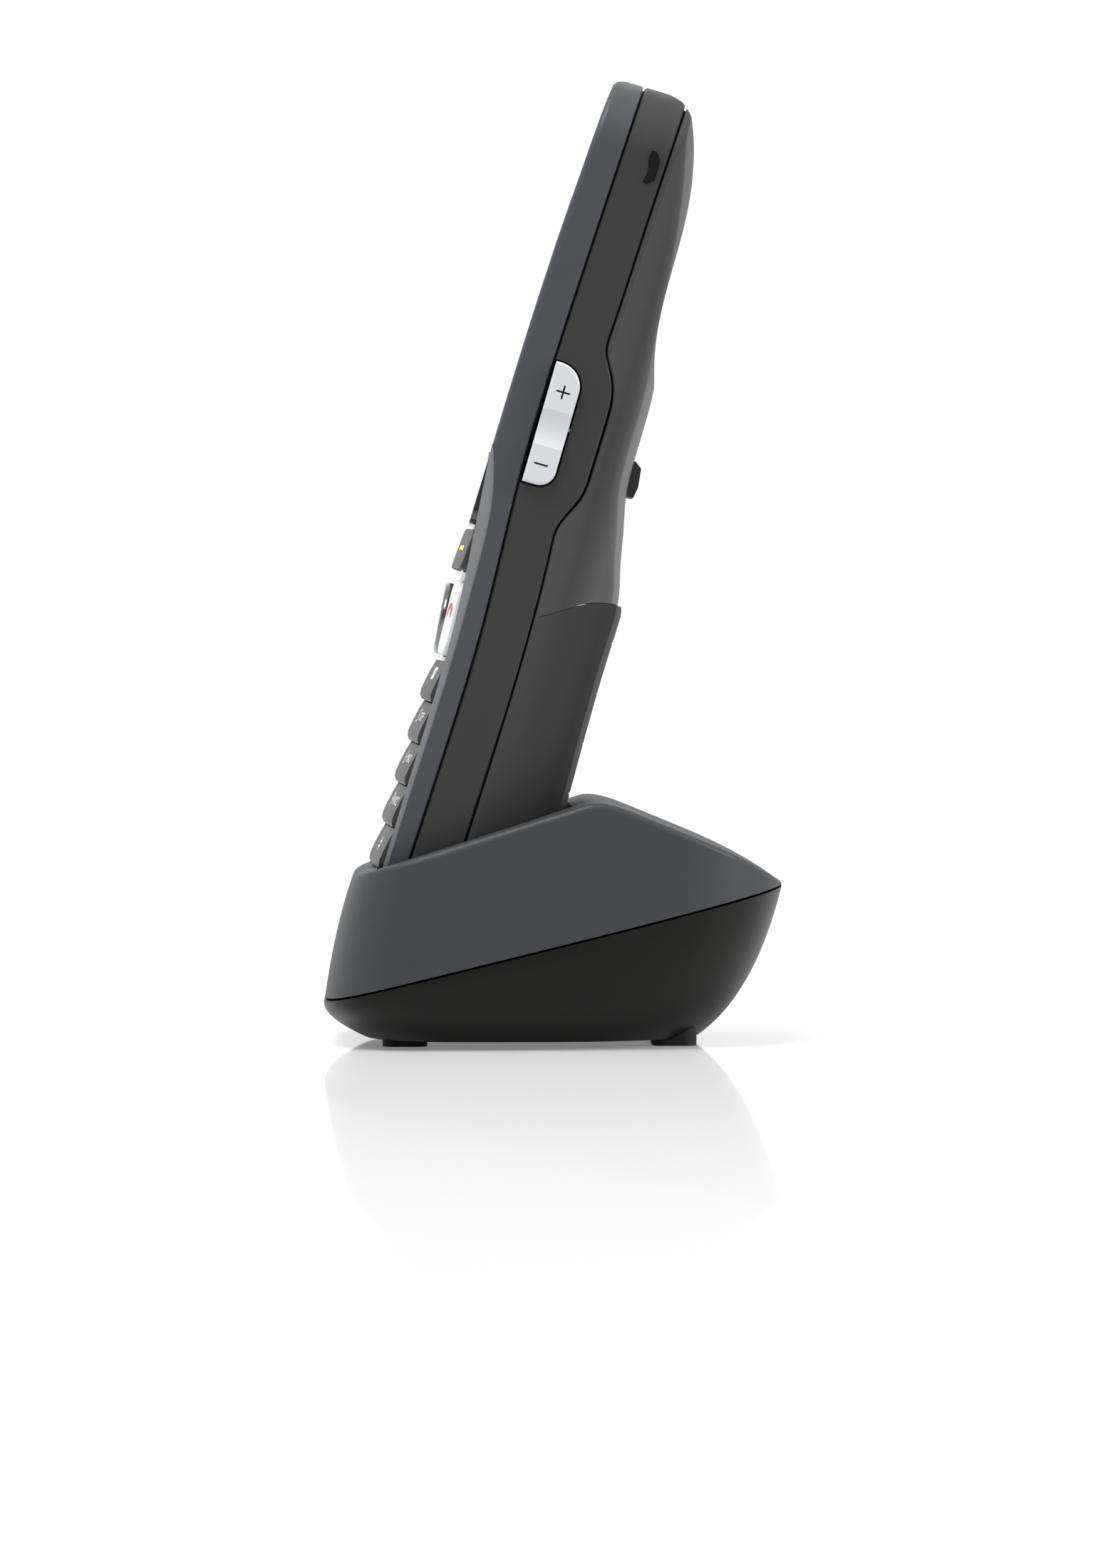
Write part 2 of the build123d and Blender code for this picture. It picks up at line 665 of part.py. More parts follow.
with BuildPart() as housing_screws:
    for x, z in boss_spots:
        add(local_cylinder(x, (board_front + deck_back) / 2, z, screw_radius,
                           deck_back - board_front, HANDSET.y_dir))
        add(local_cylinder(x, deck_back + 0.25, z, 1.7, 0.5, HANDSET.y_dir))
finish_piece(housing_screws, "housing_screws")

can_height = 2.6
can_sheet = 0.2
with BuildPart() as shield_can:
    add(round_box(0, 118, 26, 24, board_back, board_back + can_height, 1.5))
    add(round_box(0, 118, 26 - 2 * can_sheet, 24 - 2 * can_sheet, board_back - 1,
                  board_back + can_height - can_sheet, 1.3), mode=Mode.SUBTRACT)
finish_piece(shield_can, "shield_can")

with BuildPart() as earpiece:
    add(local_cylinder(0, -1.35, opening_high - 5.5, 5.5, 2.7, HANDSET.y_dir))
finish_piece(earpiece, "earpiece")

with BuildPart() as loudspeaker:
    add(local_cylinder(0, deck_back + 2.5, 122, 10.0, 4.6, HANDSET.y_dir))
finish_piece(loudspeaker, "loudspeaker")

with BuildPart() as microphone:
    add(local_cylinder(0, board_front - 0.9, opening_low - 3.2, 2.0, 1.6, HANDSET.y_dir))
finish_piece(microphone, "microphone")

with BuildPart() as vibration_motor:
    add(local_cylinder(10, board_back + 2.0, 82, 2.0, 9.0))
finish_piece(vibration_motor, "vibration_motor")

with BuildPart() as antenna:
    add(local_box((-16, 16), (deck_back, deck_back + 0.6), (body_length - 14.5, body_length - 8)))
finish_piece(antenna, "antenna")

with BuildPart() as side_key_switch:
    add(local_box((body_half_width - 9.0, body_half_width - rocker_depth - 0.6),
                  (board_back, board_back + 2.4), (rocker_middle - 8, rocker_middle + 8)))
finish_piece(side_key_switch, "side_key_switch")

with BuildPart() as battery_cells:
    for x in (-cell_diameter / 2 - 0.25, cell_diameter / 2 + 0.25):
        add(local_cylinder(x, cell_y, cell_low + cell_length / 2, cell_diameter / 2, cell_length))
finish_piece(battery_cells, "battery_cells")

with BuildPart() as battery_contacts:
    for z in (cell_low - contact_strip, cell_low + cell_length):
        add(local_box((-cell_diameter, cell_diameter), (deck_back, cell_y + 4), (z, z + contact_strip)))
finish_piece(battery_contacts, "battery_contacts")

with BuildPart() as charge_pads:
    for x in (-pin_spread, pin_spread):
        add(local_cylinder(x, pin_y, pad_length / 2, pad_radius, pad_length))
finish_piece(charge_pads, "charge_pads")

with BuildPart() as latch_spring:
    add(local_box((-4, 4), (15.0, 15.4), (latch_low, latch_high)))
finish_piece(latch_spring, "latch_spring")


# ---------------------------------------------------------------- cradle
def pocket_front_y(height):
    """Row y of the pocket's front wall at a height above the floor."""
    depth = dock_front - pocket_gap
    rise = (height - dock_z + depth * sin(lean)) / cos(lean)
    return dock_y + depth * cos(lean) + rise * sin(lean)


lip_y = pocket_front_y(lip_z) - lip_wall
cradle_front = lip_y - front_lean
rim_half_width = body_half_width + rim_width
cradle_half_width = rim_half_width + side_lean
base_half_width = cradle_half_width - 7.5
base_front = cradle_front + 6.5
slope = tan(radians(rim_slope))
rim_rear_z = lip_z + (cradle_rear - 2 - lip_y) * slope
apex_z = lip_z + (apex_y - lip_y) * slope


def cradle_section(front, rear, half_width, middle, powers, inset=0.0):
    """Rounded section on the plane through its front and rear points (y, z).

    The powers say how square its front and rear corners are.
    """
    run = Vector(0, rear[0] - front[0], rear[1] - front[1])
    plane = Plane(origin=(0, front[0], front[1]), x_dir=(1, 0, 0), z_dir=Vector(1, 0, 0).cross(run))
    length = run.length
    steps = 32
    points = []
    for step in range(steps):
        angle = 2 * pi * step / steps
        power = powers[1] if sin(angle) >= 0 else powers[0]
        reach = (length - middle if sin(angle) >= 0 else middle) - inset
        x = abs(cos(angle)) ** (2 / power) * (half_width - inset) * (1 if cos(angle) >= 0 else -1)
        y = abs(sin(angle)) ** (2 / power) * reach * (1 if sin(angle) >= 0 else -1)
        points.append((x, middle + y))
    with BuildSketch(plane) as section:
        with BuildLine():
            Spline(*points, periodic=True)
        make_face()
    return section.sketch.faces()[0]


def hull(sections):
    """Solid skinned over a stack of sections."""
    with BuildPart() as solid:
        loft(sections)
    return solid.part


def seam_section(inset):
    """Section at the cradle's sloping seam."""
    return cradle_section((cradle_front, seam_front_z), (cradle_rear, seam_rear_z),
                          cradle_half_width, 23, (3.8, 3.4), inset)


def lower_hull(inset):
    """Bowl under the seam."""
    return hull([
        cradle_section((base_front, base_z + inset), (base_rear, base_z + inset),
                       base_half_width, 22, (3.0, 2.8), inset),
        cradle_section((cradle_front + 2.4, 3.6 + inset), (31.2, 7.2 + inset), cradle_half_width - 3.2, 23,
                       (3.4, 3.0), inset),
        seam_section(inset),
    ])


def upper_hull(inset):
    """Leaning wall above the seam, open ended."""
    return hull([
        seam_section(inset),
        cradle_section((lip_y - 3.1, 18.3), (cradle_rear - 0.6, seam_rear_z + 9), cradle_half_width - 1.3, 23,
                       (4.0, 3.5), inset),
        cradle_section((lip_y, lip_z), (cradle_rear - 2, rim_rear_z), rim_half_width, 22, (4.4, 3.6), inset),
    ])


def below_rim(drop=0.0):
    """Everything below the cradle's sloping top, in the side view."""
    far = (-AWAY, lip_z + (-AWAY - lip_y) * slope - drop)
    rear = [(y, z - drop) for y, z in rear_slope]
    with BuildPart() as prism:
        with BuildSketch(Plane.YZ.offset(-AWAY)):
            with BuildLine():
                Line(far, (apex_y, apex_z - drop))
                Spline((apex_y, apex_z - drop), *rear, tangents=((1, slope), (1, -rear_fall)))
                Polyline(rear[-1], (rear[-1][0], -20), (far[0], -20), far)
            make_face()
        extrude(amount=2 * AWAY)
    return prism.part


def seam_prism(step, below):
    """Half space above or below the cradle's sloping seam, moved by a step."""
    rise = (seam_rear_z - seam_front_z) / (cradle_rear - cradle_front)
    z_left = seam_front_z + (-AWAY - cradle_front) * rise + step
    z_right = seam_front_z + (AWAY - cradle_front) * rise + step
    end = -40 if below else 120
    with BuildPart() as prism:
        with BuildSketch(Plane.YZ.offset(-AWAY)):
            with BuildLine():
                Polyline((-AWAY, z_left), (AWAY, z_right), (AWAY, end), (-AWAY, end), close=True)
            make_face()
        extrude(amount=2 * AWAY)
    return prism.part


def pocket_prism(grow, low, high=110):
    """Space round the docked handset's lower end, grown by a gap."""
    half = body_half_width - dock_taper + grow
    square_part = local_box((-half, half), (dock_front - grow, 8.5), (low, high))
    round_part = section_prism(-grow) & local_box((-half, half), (8.0, back_crest + grow), (low, high))
    return square_part + round_part


half_joint = cradle_seam_gap / 2
with BuildPart() as upper_solid:
    add(upper_hull(0) & below_rim())
    fillet(upper_solid.edges().sort_by(Axis.Y)[-1], ridge_round)
whole_hull = upper_solid.part + lower_hull(0)

with BuildPart() as upper_shell:
    add(upper_solid.part)
    add(upper_hull(cradle_wall) & below_rim(cradle_wall), mode=Mode.SUBTRACT)
    add(seam_prism(half_joint, below=False), mode=Mode.INTERSECT)
    add(whole_hull & pocket_prism(pocket_gap + pocket_wall, -pocket_floor_gap - pocket_wall))
    for x, y in case_screw_spots:
        with BuildSketch(Plane.XY.offset(floor_top + 0.3)):
            with Locations((x, y)):
                Circle(case_boss_radius)
        extrude(amount=lip_z - floor_top - 6)
        with BuildSketch(Plane.XY.offset(floor_top)):
            with Locations((x, y)):
                Circle(1.05)
        extrude(amount=case_screw_length + 1, mode=Mode.SUBTRACT)
    add(pocket_prism(pocket_gap, -pocket_floor_gap), mode=Mode.SUBTRACT)
    for x in (-pin_spread, pin_spread):
        add(local_cylinder(x, pin_y, 0, pin_radius + 0.15, 8), mode=Mode.SUBTRACT)
finish_piece(upper_shell, "upper_shell")

with BuildPart() as lower_shell:
    add(lower_hull(0))
    add(lower_hull(cradle_wall), mode=Mode.SUBTRACT)
    add(seam_prism(-half_joint, below=True), mode=Mode.INTERSECT)
    with BuildSketch(Plane.XZ.offset(-inlet_mouth_y - 20)):
        with Locations((0, inlet_middle_z)):
            Rectangle(inlet_width + 2 * inlet_shell + 0.2, inlet_height + 2 * inlet_shell + 0.2)
    extrude(amount=inlet_depth + 21, mode=Mode.SUBTRACT)
    for x, y in case_screw_spots:
        with BuildSketch(Plane.XY):
            with Locations((x, y)):
                Circle(1.9)
        extrude(amount=base_z + 1.3, mode=Mode.SUBTRACT)
        with BuildSketch(Plane.XY):
            with Locations((x, y)):
                Circle(1.1)
        extrude(amount=8, mode=Mode.SUBTRACT)
finish_piece(lower_shell, "lower_shell")

# Inside the cradle
with BuildPart() as cradle_board:
    with BuildSketch(Plane.XY.offset(board_low)):
        with Locations((0, (cradle_board_front + cradle_board_rear) / 2)):
            RectangleRounded(2 * cradle_board_half, cradle_board_rear - cradle_board_front, 2)
    extrude(amount=cradle_board_thickness)
    add(lower_hull(cradle_wall + 0.8), mode=Mode.INTERSECT)
finish_piece(cradle_board, "cradle_board")

# Socket for the mains lead's small plug, at the rear
with BuildPart() as power_socket:
    with BuildSketch(Plane.XZ.offset(-inlet_mouth_y)):
        with Locations((0, inlet_middle_z)):
            Rectangle(inlet_width + 2 * inlet_shell, inlet_height + 2 * inlet_shell)
    extrude(amount=inlet_depth + inlet_shell)
    with BuildSketch(Plane.XZ.offset(-inlet_mouth_y)):
        with Locations((0, inlet_middle_z)):
            Rectangle(inlet_width, inlet_height)
    extrude(amount=inlet_depth, mode=Mode.SUBTRACT)
finish_piece(power_socket, "power_socket")

# Contact block hung under the pocket's floor, with two sprung pins
block_top = -pocket_floor_gap - pocket_wall
block_low = block_top - 7.2
pin_tip = -pin_clearance
pin_collar_high = block_top - 0.9
collar_height = 1.0
collar_radius = 1.9
bore_radius = collar_radius + 0.15
with BuildPart() as contact_block:
    add(local_box((-pin_spread - 4, pin_spread + 4), (pin_y - 3.2, pin_y + 3.2), (block_low, block_top)))
    for x in (-pin_spread, pin_spread):
        add(local_cylinder(x, pin_y, (block_low + 1 + block_top) / 2, bore_radius,
                           block_top - block_low - 1), mode=Mode.SUBTRACT)
finish_piece(contact_block, "contact_block")

for x, name in ((-pin_spread, "contact_pin_left"), (pin_spread, "contact_pin_right")):
    with BuildPart() as contact_pin:
        add(local_cylinder(x, pin_y, (pin_tip + pin_collar_high) / 2, pin_radius, pin_tip - pin_collar_high))
        add(local_cylinder(x, pin_y, pin_collar_high - collar_height / 2, collar_radius, collar_height))
        fillet(contact_pin.faces().sort_by(along(HANDSET.z_dir))[-1].edges(), 0.6)
    finish_piece(contact_pin, name)

spring_low = block_low + 1.2 + spring_wire
spring_high = pin_collar_high - collar_height - pin_travel - spring_wire - 0.05
with BuildPart() as pin_springs:
    for x in (-pin_spread, pin_spread):
        foot = HANDSET.from_local_coords((x, pin_y, spring_low))
        with BuildLine():
            turns = Helix((spring_high - spring_low) / 4, spring_high - spring_low, spring_radius,
                          center=foot, direction=HANDSET.z_dir)
        with BuildSketch(Plane(origin=turns @ 0, z_dir=turns % 0)):
            Circle(spring_wire)
        sweep(path=turns, is_frenet=True)
finish_piece(pin_springs, "pin_springs")

with BuildPart() as ballast_weight:
    with BuildSketch(Plane.XY.offset(floor_top)):
        with Locations((0, -18.0)):
            RectangleRounded(36, 9, 2)
    extrude(amount=2.2)
finish_piece(ballast_weight, "ballast_weight")

with BuildPart() as rubber_feet:
    with BuildSketch(Plane.XY):
        with Locations(*foot_spots):
            RectangleRounded(*foot_size, foot_corner)
    extrude(amount=foot_height + 2)
    add(lower_hull(0), mode=Mode.SUBTRACT)
finish_piece(rubber_feet, "rubber_feet")

with BuildPart() as case_screws:
    for x, y in case_screw_spots:
        with BuildSketch(Plane.XY.offset(base_z + 0.2)):
            with Locations((x, y)):
                Circle(1.8)
        extrude(amount=1.0)
        with BuildSketch(Plane.XY.offset(base_z + 1.2)):
            with Locations((x, y)):
                Circle(1.0)
        extrude(amount=case_screw_length)
finish_piece(case_screws, "case_screws")

os.makedirs("parts", exist_ok=True)
for piece in parts:
    export_step(piece, f"parts/{piece.label}.step")
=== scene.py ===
"""Looks of a cordless phone leaning in its charging cradle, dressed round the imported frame."""

import logging
import math
from dataclasses import dataclass, field
from enum import Enum

import bmesh
import bpy
from mathutils import Matrix, Vector
from mathutils.bvhtree import BVHTree


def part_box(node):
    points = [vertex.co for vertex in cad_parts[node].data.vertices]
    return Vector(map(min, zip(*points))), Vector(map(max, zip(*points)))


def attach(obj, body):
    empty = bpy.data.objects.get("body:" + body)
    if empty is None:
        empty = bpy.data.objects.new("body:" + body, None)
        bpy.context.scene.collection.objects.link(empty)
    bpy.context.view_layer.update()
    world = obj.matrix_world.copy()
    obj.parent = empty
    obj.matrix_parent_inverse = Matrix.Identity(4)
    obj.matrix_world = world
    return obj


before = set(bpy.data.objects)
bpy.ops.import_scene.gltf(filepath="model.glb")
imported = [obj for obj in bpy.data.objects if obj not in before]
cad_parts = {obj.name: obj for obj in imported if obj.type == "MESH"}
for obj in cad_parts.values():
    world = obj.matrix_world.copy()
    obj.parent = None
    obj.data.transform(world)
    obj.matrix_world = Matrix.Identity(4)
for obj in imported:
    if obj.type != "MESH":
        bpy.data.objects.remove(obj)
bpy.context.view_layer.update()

log = logging.getLogger("phone")
MM = 0.001
Colour = tuple[float, float, float]

MIDDLE = 0.5  # mean of a noise
PATCH_SCALE = 55.0  # rubbed patches per metre
HAZE_SCALE = 90.0  # haze on glass, per metre
GRAIN_SHARE = 1000.0  # noise scale times the grain size in mm
CELL_SHARE = 620.0  # cell scale times the grain size in mm
GRAIN_HEIGHT = 0.00006  # m
BRUSH_HEIGHT = 0.00002  # m
COAT_ROUGHNESS = 0.12
CURVE_STEPS = 40  # steps of a spun arc
CORNER_STEPS = 4


# ------------------------------------------------------------------ handset frame
@dataclass(frozen=True)
class Lean:
    """The handset's own frame: x across, y from front to back, z up its axis, in millimetres.

    Attributes:
        origin: middle of its lower end, in the row frame, in mm.
        tilt: lean from upright, degrees.
    """

    origin: Vector = Vector((0.0, -29.0, 16.0))
    tilt: float = 16.2

    @property
    def matrix(self) -> Matrix:
        """Handset millimetres to row-frame metres."""
        turn = Matrix.Rotation(-math.radians(self.tilt), 4, "X")
        return Matrix.Scale(MM, 4) @ Matrix.Translation(self.origin) @ turn

    def place(self, x: float, y: float, z: float) -> Vector:
        """Turn a point of the handset's frame into the row frame.

        Args:
            x: across, mm.
            y: from front to back, mm.
            z: up the axis, mm.

        Returns:
            The point in metres.
        """
        return self.matrix @ Vector((x, y, z))


# ------------------------------------------------------------------ shader maths
class Signal:
    """A shader socket that can be used in Python expressions."""

    def __init__(self, shader: "Shader", socket: bpy.types.NodeSocket) -> None:
        """Wrap a socket.

        Args:
            shader: the material's node builder.
            socket: the output socket that carries the value.
        """
        self.shader = shader
        self.socket = socket

    def _join(self, kind: str, first: object, second: object) -> "Signal":
        """Add a Math node.

        Args:
            kind: its operation.
            first: first value or signal.
            second: second value or signal.

        Returns:
            Its output.
        """
        return self.shader.add("ShaderNodeMath", {"operation": kind}, {0: first, 1: second})

    def __add__(self, other: object) -> "Signal":
        """Sum."""
        return self._join("ADD", self, other)

    __radd__ = __add__

    def __mul__(self, other: object) -> "Signal":
        """Product."""
        return self._join("MULTIPLY", self, other)

    __rmul__ = __mul__

    def __sub__(self, other: object) -> "Signal":
        """Difference."""
        return self._join("SUBTRACT", self, other)

    def __rsub__(self, other: object) -> "Signal":
        """Reflected difference, so that 1 - mask works."""
        return self._join("SUBTRACT", other, self)


class Shader:
    """Node builder of one material."""

    def __init__(self, name: str) -> None:
        """Start an empty node material.

        Args:
            name: the material's name.
        """
        self.material = bpy.data.materials.new(name)
        self.material.use_nodes = True
        self.tree = self.material.node_tree
        self.tree.nodes.clear()
        self.output = self.tree.nodes.new("ShaderNodeOutputMaterial")

    def add(self, kind: str, settings: dict | None = None, inputs: dict | None = None,
            out: int | str = 0) -> Signal:
        """Add any node.

        Args:
            kind: the node's type name.
            settings: properties set first, such as a Math node's operation or a ramp's stops.
            inputs: values or signals for its sockets, by index or name.
            out: which output to return.

        Returns:
            The chosen output as a signal.
        """
        node = self.tree.nodes.new(kind)
        for key, value in (settings or {}).items():
            if key == "stops":
                self._set_stops(node, value)
            else:
                setattr(node, key, value)
        for key, value in (inputs or {}).items():
            if isinstance(value, Signal):
                self.tree.links.new(value.socket, node.inputs[key])
            else:
                node.inputs[key].default_value = value
        return Signal(self, node.outputs[out])

    @staticmethod
    def _set_stops(node: bpy.types.Node, stops: list[tuple[float, Colour]]) -> None:
        """Give a ramp its stops.

        Args:
            node: the ramp's node.
            stops: (position, colour) pairs.
        """
        ramp = node.color_ramp
        while len(ramp.elements) < len(stops):
            ramp.elements.new(0.5)
        for element, (place, colour) in zip(ramp.elements, stops):
            element.position = place
            element.color = (*colour, 1.0)

    def finish(self, surface: Signal) -> bpy.types.Material:
        """Connect the surface.

        Args:
            surface: the shader that the surface shows.

        Returns:
            The finished material.
        """
        self.tree.links.new(surface.socket, self.output.inputs["Surface"])
        return self.material


# ------------------------------------------------------------------ finishes
@dataclass(frozen=True)
class Moulded:
    """Moulded plastic or rubber: spark-eroded grain, soft mottling and rubbed patches.

    Attributes:
        name: the material's name.
        colour: base colour.
        roughness: mean roughness.
        grain: grain size in mm.
        depth: how strongly the grain stands up, 0 to 1.
        mottle: how far the colour drifts, as a share.
        coat: clear coat weight.
        specular: specular level.
    """

    name: str
    colour: Colour
    roughness: float = 0.5
    grain: float = 0.25
    depth: float = 0.12
    mottle: float = 0.08
    coat: float = 0.0
    specular: float = 0.25

    def material(self) -> bpy.types.Material:
        """Build the node material.

        Returns:
            The material.
        """
        shader = Shader(self.name)
        place = shader.add("ShaderNodeTexCoord", out="Object")
        patches = shader.add("ShaderNodeTexNoise", None,
                             {"Vector": place, "Scale": PATCH_SCALE, "Detail": 3.0})
        grain = shader.add("ShaderNodeTexNoise", None,
                           {"Vector": place, "Scale": GRAIN_SHARE / self.grain, "Detail": 2.0})
        fine = shader.add("ShaderNodeTexVoronoi", None,
                          {"Vector": place, "Scale": CELL_SHARE / self.grain})
        light = tuple(min(1.0, c * (1 + self.mottle)) for c in self.colour)
        dark = tuple(c * (1 - self.mottle) for c in self.colour)
        speck = patches * 0.6 + grain * 0.4
        tint = shader.add("ShaderNodeMix", {"data_type": "RGBA"},
                          {0: speck, 6: (*dark, 1.0), 7: (*light, 1.0)}, out=2)
        rough = self.roughness + (patches - MIDDLE) * 0.12 + (grain - MIDDLE) * 0.08
        relief = grain * 0.7 + fine * 0.3
        bump = shader.add("ShaderNodeBump", None,
                          {"Strength": self.depth, "Distance": GRAIN_HEIGHT, "Height": relief})
        surface = shader.add("ShaderNodeBsdfPrincipled", None,
                             {"Base Color": tint, "Roughness": rough, "Normal": bump,
                              "Coat Weight": self.coat, "Coat Roughness": COAT_ROUGHNESS,
                              "Specular IOR Level": self.specular})
        return shader.finish(surface)


@dataclass(frozen=True)
class Metal:
    """Plated or brushed metal.

    Attributes:
        name: the material's name.
        colour: base colour.
        roughness: mean roughness.
        brush: scale of the brushing, lines per metre.
    """

    name: str
    colour: Colour
    roughness: float = 0.2
    brush: float = 4000.0

    def material(self) -> bpy.types.Material:
        """Build the node material.

        Returns:
            The material.
        """
        shader = Shader(self.name)
        place = shader.add("ShaderNodeTexCoord", out="Object")
        stretched = shader.add("ShaderNodeMapping", None,
                               {"Vector": place, "Scale": (0.06, 1.0, 1.0)})
        lines = shader.add("ShaderNodeTexNoise", None,
                           {"Vector": stretched, "Scale": self.brush, "Detail": 2.0})
        rough = self.roughness + (lines - MIDDLE) * 0.12
        bump = shader.add("ShaderNodeBump", None,
                          {"Strength": 0.04, "Distance": BRUSH_HEIGHT, "Height": lines})
        surface = shader.add("ShaderNodeBsdfPrincipled", None,
                             {"Base Color": (*self.colour, 1.0), "Metallic": 1.0,
                              "Roughness": rough, "Normal": bump})
        return shader.finish(surface)


@dataclass(frozen=True)
class Screen:
    """Tinted display glass with a faint haze.

    Attributes:
        name: the material's name.
        colour: tint.
    """

    name: str
    colour: Colour

    def material(self) -> bpy.types.Material:
        """Build the node material.

        Returns:
            The material.
        """
        shader = Shader(self.name)
        place = shader.add("ShaderNodeTexCoord", out="Object")
        haze = shader.add("ShaderNodeTexNoise", None, {"Vector": place, "Scale": HAZE_SCALE})
        deep = tuple(c * 0.8 for c in self.colour)
        tint = shader.add("ShaderNodeMix", {"data_type": "RGBA"},
                          {0: haze, 6: (*deep, 1.0), 7: (*self.colour, 1.0)}, out=2)
        rough = 0.1 + haze * 0.05
        surface = shader.add("ShaderNodeBsdfPrincipled", None,
                             {"Base Color": tint, "Roughness": rough, "Coat Weight": 0.6,
                              "Coat Roughness": 0.05})
        return shader.finish(surface)


@dataclass(frozen=True)
class PaintedShadeBands:
    """Moulded plastic whose tone changes across the handset's thickness.

    Attributes:
        name: the material's name.
        colour: base colour.
        stops: (distance behind the handset's face plane in mm, painted brightness) pairs; low values paint
            shade, high values paint light.
        roughness: mean roughness.
        grain: grain size in mm.
        depth: how strongly the grain stands up, 0 to 1.
    """

    name: str
    colour: Colour
    stops: tuple[tuple[float, float], ...]
    roughness: float = 0.5
    grain: float = 0.3
    depth: float = 0.2

    def material(self) -> bpy.types.Material:
        """Build the node material.

        Returns:
            The material.
        """
        shader = Shader(self.name)
        place = shader.add("ShaderNodeTexCoord", out="Object")
        inwards = (Lean().matrix.to_3x3() @ Vector((0, 1, 0))).normalized()
        start = Lean().place(0, 0, 0).dot(inwards)
        along = shader.add("ShaderNodeVectorMath", {"operation": "DOT_PRODUCT"},
                           {0: place, 1: inwards}, out="Value")
        first, last = self.stops[0][0] * MM, self.stops[-1][0] * MM
        across = (along - (start + first)) * (1 / (last - first))
        # painted shade and light: brightness stops across the thickness
        painted_tones = [((y * MM - first) / (last - first), (tone, tone, tone)) for y, tone in self.stops]
        shade = shader.add("ShaderNodeValToRGB", {"stops": painted_tones}, {0: across})
        grain = shader.add("ShaderNodeTexNoise", None,
                           {"Vector": place, "Scale": GRAIN_SHARE / self.grain, "Detail": 2.0})
        # base colour multiplied by the painted shade and light
        tint = shader.add("ShaderNodeMix", {"data_type": "RGBA", "blend_type": "MULTIPLY"},
                          {0: 1.0, 6: (*self.colour, 1.0), 7: shade}, out=2)
        rough = self.roughness + (grain - MIDDLE) * 0.1
        bump = shader.add("ShaderNodeBump", None,
                          {"Strength": self.depth, "Distance": GRAIN_HEIGHT, "Height": grain})
        surface = shader.add("ShaderNodeBsdfPrincipled", None,
                             {"Base Color": tint, "Roughness": rough, "Normal": bump,
                              "Specular IOR Level": 0.25})
        return shader.finish(surface)


class Finish(Enum):
    """The object's finishes."""

    FRONT_SHELL = Moulded("front_shell", (0.050, 0.053, 0.059), 0.46, 0.22, 0.10)
    MID_SHELL = Moulded("mid_shell", (0.028, 0.028, 0.028), 0.55, 0.22, 0.08)
    # back shell: painted shade over the seam side and the concave band, painted light on the rounded back
    # edge
    BACK_SHELL = PaintedShadeBands("back_shell", (0.075, 0.075, 0.077),
                        ((7.5, 0.58), (9.5, 0.50), (13.0, 0.46), (15.5, 0.66), (17.5, 0.90), (22.0, 0.80)))
    SURROUND = Moulded("surround", (0.17, 0.175, 0.18), 0.45, 0.22, 0.10)
    SEAL = Moulded("seal", (0.004, 0.004, 0.004), 0.8, 0.3, 0.1, specular=0.15)
    # grip: painted shade that grows darker towards the back of the battery cover, lighter again at the very
    # back
    GRIP = PaintedShadeBands("grip", (0.034, 0.034, 0.034),
                  ((7.5, 1.0), (12.0, 0.9), (17.0, 0.7), (20.0, 0.45), (24.0, 0.6)), 0.7, 0.35, 0.2)
    KEYCAP = Moulded("keycap", (0.045, 0.045, 0.047), 0.42, 0.25, 0.08)
    PANEL = Moulded("panel", (0.62, 0.63, 0.65), 0.34, 0.30, 0.05, 0.03, coat=0.2)
    SIDE_KEY = Moulded("side_key", (0.52, 0.53, 0.55), 0.30, 0.25, 0.05, 0.03, coat=0.25)
    BLACK_GLOSS = Moulded("black_gloss", (0.006, 0.006, 0.007), 0.16, 0.4, 0.02, coat=0.6)
    CRADLE_TOP = Moulded("cradle_top", (0.034, 0.036, 0.039), 0.50, 0.28, 0.20)
    # cradle base: colour kept far darker than the cradle top, as painted shade for its downward-facing walls
    CRADLE_BASE = Moulded("cradle_base", (0.006, 0.006, 0.0055), 0.40, 0.28, 0.12, specular=0.12)
    FOOT = Moulded("foot", (0.012, 0.012, 0.012), 0.7, 0.4, 0.2, specular=0.3)
    BOARD = Moulded("board", (0.012, 0.10, 0.045), 0.35, 0.5, 0.1, coat=0.4)
    INNER = Moulded("inner", (0.02, 0.02, 0.02), 0.5, 0.4, 0.1)
    CELL = Moulded("cell", (0.05, 0.22, 0.09), 0.3, 0.5, 0.04, coat=0.4)
    SILICONE = Moulded("silicone", (0.35, 0.35, 0.36), 0.6, 0.4, 0.1)
    WHITE_INK = Moulded("white_ink", (0.80, 0.80, 0.80), 0.45, 0.3, 0.04, 0.02)
    RED_INK = Moulded("red_ink", (0.55, 0.012, 0.03), 0.4, 0.3, 0.04, 0.04)
    GREEN_INK = Moulded("green_ink", (0.02, 0.33, 0.06), 0.4, 0.3, 0.04, 0.04)
    YELLOW_INK = Moulded("yellow_ink", (0.85, 0.70, 0.0), 0.4, 0.3, 0.04, 0.04)
    # dark ink for printed lines, also used as painted shade inside the slots and the rocker's engraving
    DARK_INK_AND_SHADE = Moulded("dark_ink_and_shade", (0.012, 0.012, 0.013), 0.5, 0.3, 0.04, 0.04)
    DARK_CHROME = Metal("dark_chrome", (0.17, 0.17, 0.18), 0.20)
    STEEL = Metal("steel", (0.52, 0.52, 0.53), 0.30)
    GOLD = Metal("gold", (0.80, 0.58, 0.24), 0.22)
    IRON = Metal("iron", (0.20, 0.20, 0.20), 0.55)
    LENS = Screen("lens", (0.012, 0.013, 0.015))
    SCREEN_AREA = Screen("screen_area", (0.075, 0.085, 0.10))


